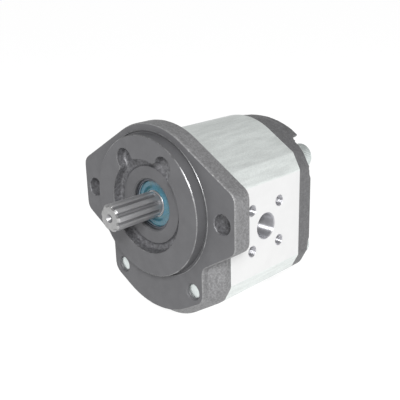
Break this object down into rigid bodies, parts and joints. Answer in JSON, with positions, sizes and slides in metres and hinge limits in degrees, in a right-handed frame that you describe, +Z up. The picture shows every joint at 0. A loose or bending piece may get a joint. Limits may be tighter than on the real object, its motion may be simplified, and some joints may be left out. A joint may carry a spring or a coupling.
{
  "type": "hydraulic gear pump",
  "caption": "External gear pump with a two-bolt pilot flange, splined drive shaft, extruded body with side ports and a bolted rear cover; meshed gears turn inside.",
  "frame": {"origin": "on the drive shaft's axis, in the plane of the mounting flange's face", "axes": "+Y from the drive end towards the rear cover, +X towards the outlet port, +Z up; the driven shaft lies below the drive shaft"},
  "size_m": [0.125, 0.1333, 0.119],
  "materials": {
    "cast_flange": "phosphated as-cast with machined faces",
    "cast_cover": "phosphated as-cast",
    "body_alloy": "satin extruded",
    "shaft_steel": "ground and hobbed",
    "bearing_alloy": "fine machined",
    "bush_bronze": "bronze and PTFE lined",
    "seal_rubber_black": "matt",
    "seal_rubber_teal": "satin",
    "backup_plastic": "matt",
    "seal_case_steel": "satin",
    "spring_steel": "dark satin",
    "zinc_fastener": "zinc plated",
    "dowel_steel": "ground"
  },
  "bodies": {
    "housing": {"front_flange": "cast_flange", "pump_body": "body_alloy", "rear_cover": "cast_cover", "front_bearing_block": "bearing_alloy", "rear_bearing_block": "bearing_alloy", "front_drive_bush": "bush_bronze", "front_driven_bush": "bush_bronze", "rear_drive_bush": "bush_bronze", "rear_driven_bush": "bush_bronze", "front_balance_seal": "seal_rubber_black", "rear_balance_seal": "seal_rubber_black", "front_backup_ring": "backup_plastic", "rear_backup_ring": "backup_plastic", "front_body_seal": "seal_rubber_black", "rear_body_seal": "seal_rubber_black", "shaft_seal_case": "seal_case_steel", "shaft_seal_lip": "seal_rubber_teal", "seal_garter_spring": "spring_steel", "seal_retaining_ring": "spring_steel", "assembly_bolts": "zinc_fastener", "bolt_washers": "zinc_fastener", "front_dowels": "dowel_steel", "rear_dowels": "dowel_steel"},
    "drive_shaft": {"drive_gear_shaft": "shaft_steel"},
    "driven_gear": {"driven_gear_shaft": "shaft_steel"}
  },
  "joints": [
    {"name": "drive_shaft_spin", "type": "hinge", "parent": "housing", "child": "drive_shaft", "pos_m": [0, 0, 0], "axis": [0, 1, 0], "continuous": true},
    {"name": "driven_gear_spin", "type": "hinge", "parent": "housing", "child": "driven_gear", "pos_m": [0, 0, -0.033], "axis": [0, 1, 0], "continuous": true}
  ],
  "couplings": [
    {"joint": "driven_gear_spin", "follows": "drive_shaft_spin", "ratio": -1}
  ]
}
